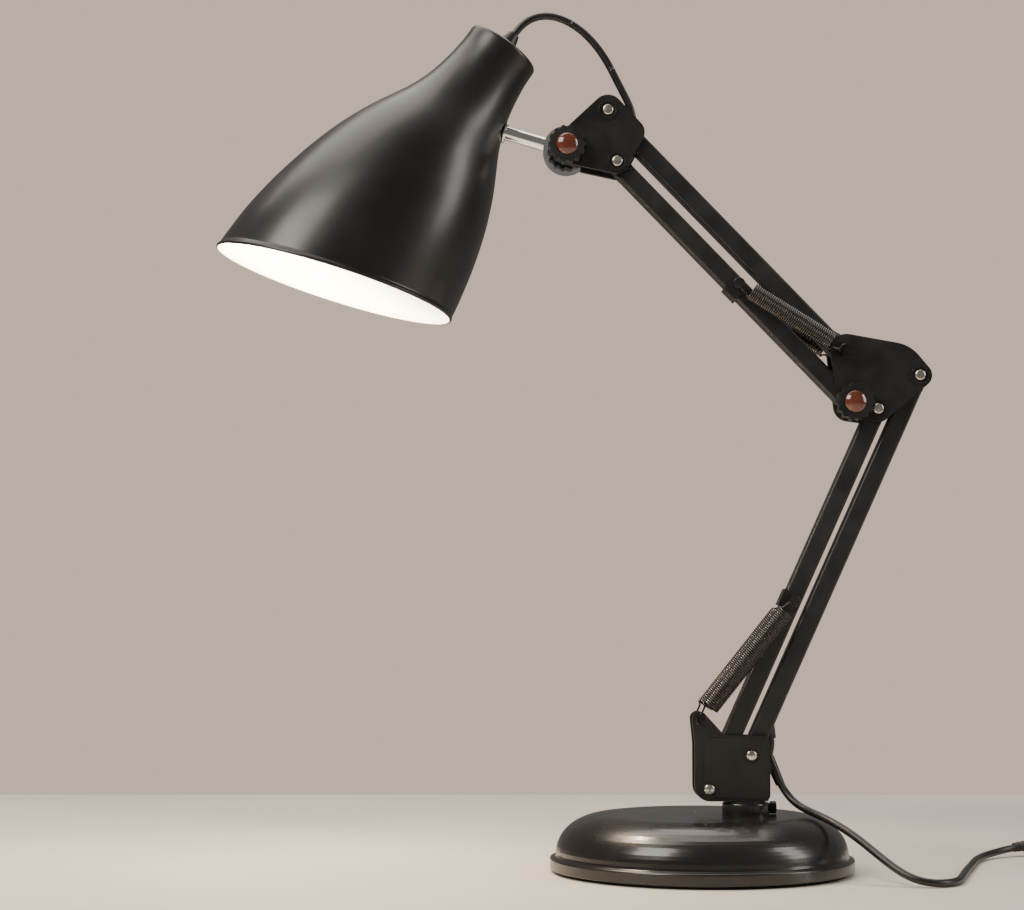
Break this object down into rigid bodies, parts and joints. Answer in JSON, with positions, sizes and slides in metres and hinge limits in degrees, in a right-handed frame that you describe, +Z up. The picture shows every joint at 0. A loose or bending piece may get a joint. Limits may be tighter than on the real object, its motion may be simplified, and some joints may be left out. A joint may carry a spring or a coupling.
{
  "type": "swing arm desk lamp",
  "caption": "Desk lamp with a heavy round base, two sprung parallelogram arms of square tube, clamp knobs at the joints and a tilting bell shade with its bulb and mains lead.",
  "frame": {"origin": "middle of the base's flat underside, where it rests on the table", "axes": "+Z up; +X the way the elbow leans, away from the shade; +Y across the arms, away from the clamp knobs"},
  "size_m": [0.5871, 0.183, 0.5162],
  "materials": {
    "foam_pad": "matte",
    "plain_steel": "satin",
    "black_steel": "satin",
    "cast_weight": "matte",
    "gloss_paint": "gloss",
    "nylon": "satin",
    "black_plastic": "satin",
    "nickel": "polished",
    "satin_paint": "satin",
    "spring_paint": "gloss",
    "black_rubber": "matte",
    "lead_pvc": "satin",
    "red_brown_plastic": "gloss",
    "chrome_plate": "polished",
    "shade_paint": "satin",
    "white_plastic": "satin",
    "bulb_glass": "gloss"
  },
  "bodies": {
    "base": {"base_pad": "foam_pad", "bottom_plate": "plain_steel", "base_weight": "cast_weight", "base_shell": "gloss_paint", "base_bolts": "plain_steel", "swivel_socket": "gloss_paint", "socket_bush": "nylon", "mains_lead": "lead_pvc", "lead_coil": "lead_pvc", "coil_tie": "black_plastic", "switch_body": "black_plastic", "plug": "black_plastic"},
    "lock": {"lock_screw": "black_plastic"},
    "swivel": {"swivel_pin": "plain_steel", "bracket_block": "black_plastic", "base_bracket_front": "black_plastic", "base_bracket_back": "black_plastic", "base_rivets": "nickel", "lower_spring_pegs": "black_steel", "lead_clip": "black_plastic"},
    "lower_right": {"lower_right_tube": "satin_paint", "lower_right_plugs": "black_plastic", "lower_grommets": "black_rubber", "lower_lead": "lead_pvc", "drop_lead": "lead_pvc"},
    "lower_left": {"lower_left_tube": "satin_paint", "lower_left_plugs": "black_plastic", "lower_spring_clip": "black_plastic", "lower_springs": "spring_paint"},
    "elbow": {"elbow_front": "black_plastic", "elbow_back": "black_plastic", "elbow_rivets": "nickel", "elbow_bolt": "black_steel", "elbow_lead": "lead_pvc"},
    "elbow_knob": {"elbow_knob": "black_plastic", "elbow_knob_cap": "red_brown_plastic"},
    "upper_top": {"upper_top_tube": "satin_paint", "upper_top_plugs": "black_plastic", "upper_grommets": "black_rubber", "upper_lead": "lead_pvc"},
    "upper_bottom": {"upper_bottom_tube": "satin_paint", "upper_bottom_plugs": "black_plastic", "upper_spring_clip": "black_plastic", "upper_springs": "spring_paint"},
    "head": {"head_front": "black_plastic", "head_back": "black_plastic", "head_rivets": "nickel", "head_bolt": "black_steel"},
    "head_knob": {"head_knob": "black_plastic", "head_knob_cap": "red_brown_plastic"},
    "rod": {"head_rod": "chrome_plate", "rod_nuts": "chrome_plate"},
    "shade": {"shade": "shade_paint", "cord_gland": "black_plastic", "lampholder": "white_plastic", "holder_ring": "white_plastic", "bulb_cap": "nickel", "bulb_glass": "bulb_glass", "loop_lead": "lead_pvc"},
    "rocker": {"switch_rocker": "red_brown_plastic"}
  },
  "joints": [
    {"name": "base_swivel", "type": "hinge", "parent": "base", "child": "swivel", "pos_m": [0.0265, 0, 0.042], "axis": [0, 0, 1], "range_deg": [-160, 160], "deforming": ["mains_lead"]},
    {"name": "lock_screw_turn", "type": "hinge", "parent": "base", "child": "lock", "pos_m": [0.046, 0, 0.0379], "axis": [1, 0, 0], "range_deg": [-180, 180]},
    {"name": "lower_arm_tilt", "type": "hinge", "parent": "swivel", "child": "lower_right", "pos_m": [0.029, 0, 0.069], "axis": [0, 1, 0], "range_deg": [-60, 4], "deforming": ["drop_lead"]},
    {"name": "lower_left_tilt", "type": "hinge", "parent": "swivel", "child": "lower_left", "pos_m": [0.004, 0, 0.049], "axis": [0, 1, 0], "range_deg": [-61, 5], "deforming": ["lower_springs"]},
    {"name": "elbow_level", "type": "hinge", "parent": "lower_right", "child": "elbow", "pos_m": [0.13046, 0, 0.29475], "axis": [0, 1, 0], "range_deg": [-5, 61], "deforming": ["elbow_lead"]},
    {"name": "elbow_knob_turn", "type": "hinge", "parent": "elbow", "child": "elbow_knob", "pos_m": [0.09036, 0, 0.27785], "axis": [0, 1, 0], "range_deg": [0, 360]},
    {"name": "upper_arm_tilt", "type": "hinge", "parent": "elbow", "child": "upper_top", "pos_m": [0.08496, 0, 0.30885], "axis": [0, 1, 0], "range_deg": [-80, 10]},
    {"name": "upper_bottom_tilt", "type": "hinge", "parent": "elbow", "child": "upper_bottom", "pos_m": [0.09036, 0, 0.27785], "axis": [0, 1, 0], "range_deg": [-81, 11], "deforming": ["upper_springs"]},
    {"name": "head_level", "type": "hinge", "parent": "upper_top", "child": "head", "pos_m": [-0.05497, 0, 0.45426], "axis": [0, 1, 0], "range_deg": [-11, 81]},
    {"name": "head_knob_turn", "type": "hinge", "parent": "head", "child": "head_knob", "pos_m": [-0.07967, 0, 0.43156], "axis": [0, 1, 0], "range_deg": [0, 360]},
    {"name": "head_tilt", "type": "hinge", "parent": "head", "child": "rod", "pos_m": [-0.07967, 0, 0.43156], "axis": [0, 1, 0], "range_deg": [-45, 45]},
    {"name": "shade_swivel", "type": "hinge", "parent": "rod", "child": "shade", "pos_m": [-0.07967, 0, 0.43156], "axis": [-0.9583, 0, 0.2857], "range_deg": [-60, 60], "deforming": ["loop_lead"]},
    {"name": "rocker_press", "type": "hinge", "parent": "base", "child": "rocker", "pos_m": [0.249, 0.082, 0.0126], "axis": [0, 1, 0], "range_deg": [0, 16]}
  ],
  "couplings": [
    {"joint": "lower_left_tilt", "follows": "lower_arm_tilt", "ratio": 1},
    {"joint": "elbow_level", "follows": "lower_arm_tilt", "ratio": -1},
    {"joint": "upper_bottom_tilt", "follows": "upper_arm_tilt", "ratio": 1},
    {"joint": "head_level", "follows": "upper_arm_tilt", "ratio": -1}
  ]
}
